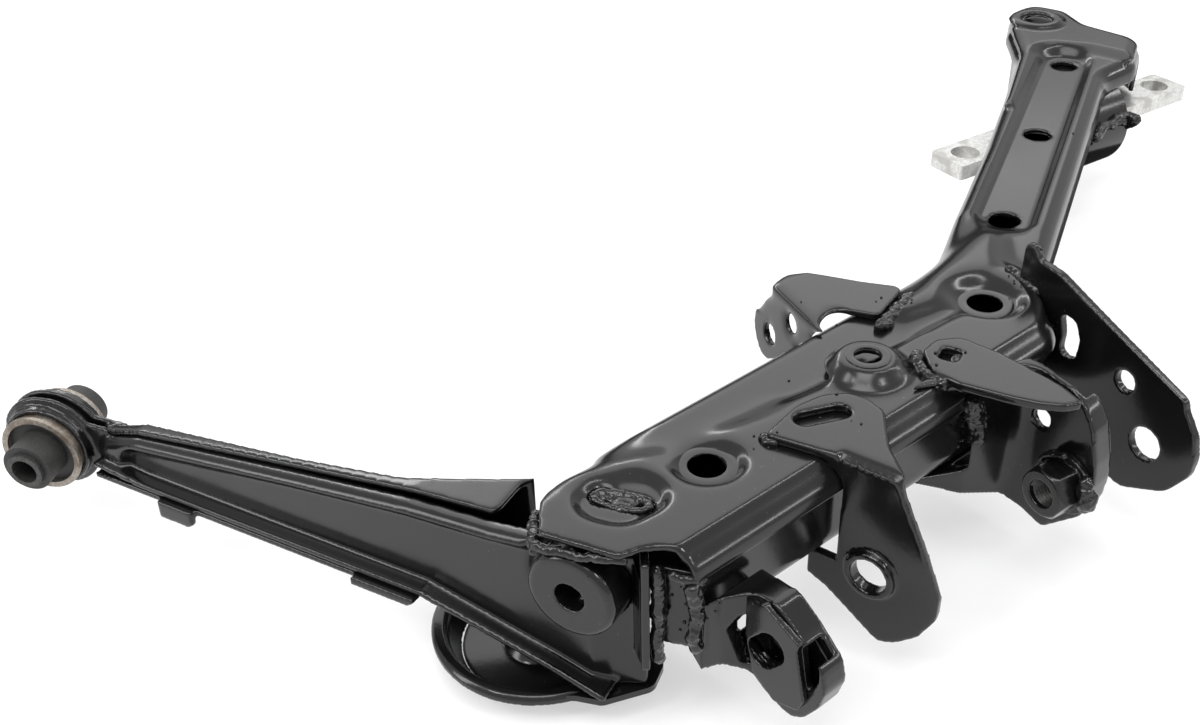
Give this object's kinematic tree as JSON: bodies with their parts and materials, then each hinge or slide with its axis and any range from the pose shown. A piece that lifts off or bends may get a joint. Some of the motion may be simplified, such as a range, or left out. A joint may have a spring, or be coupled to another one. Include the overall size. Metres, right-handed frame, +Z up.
{
  "type": "rear control arm",
  "caption": "Welded pressed-steel rear control arm: a box beam with an angled leg, a lateral leg with a rubber bush, clevis brackets and a bar-pin bush.",
  "frame": {"origin": "in the middle of the datum hole of the main beam, level with the beam's raised top", "axes": "+X along the main beam towards the far leg, +Y to the inner side of the arm, +Z up, square to the beam's top"},
  "size_m": [0.7273, 0.3933, 0.1133],
  "materials": {
    "black_coat": "glossy black dip coat over pressed steel",
    "bush_ring": "bare steel ring, dulled",
    "bush_rubber": "moulded black rubber",
    "bush_sleeve": "dark phosphated steel",
    "bare_bar": "plated steel bar, dull silver"
  },
  "bodies": {
    "root": {"upper_shell": "black_coat", "lower_shell": "black_coat", "lateral_front_shell": "black_coat", "lateral_rear_shell": "black_coat", "seat_plate": "black_coat", "cup_wall": "black_coat", "cup_floor": "black_coat", "end_flange": "black_coat", "damper_boss": "black_coat", "cam_bracket": "black_coat", "cam_plate": "black_coat", "centre_bracket": "black_coat", "nut_bracket": "black_coat", "weld_nut": "black_coat", "outer_plate": "black_coat", "hose_bracket": "black_coat", "lateral_bush_shell": "bush_ring", "lateral_bush_rubber": "bush_rubber", "lateral_bush_sleeve": "bush_sleeve", "pin_bush_tube": "black_coat", "pin_bush_shell": "bush_ring", "pin_bush_rubber": "bush_rubber", "pin_bush_bar": "bare_bar"}
  },
  "joints": []
}
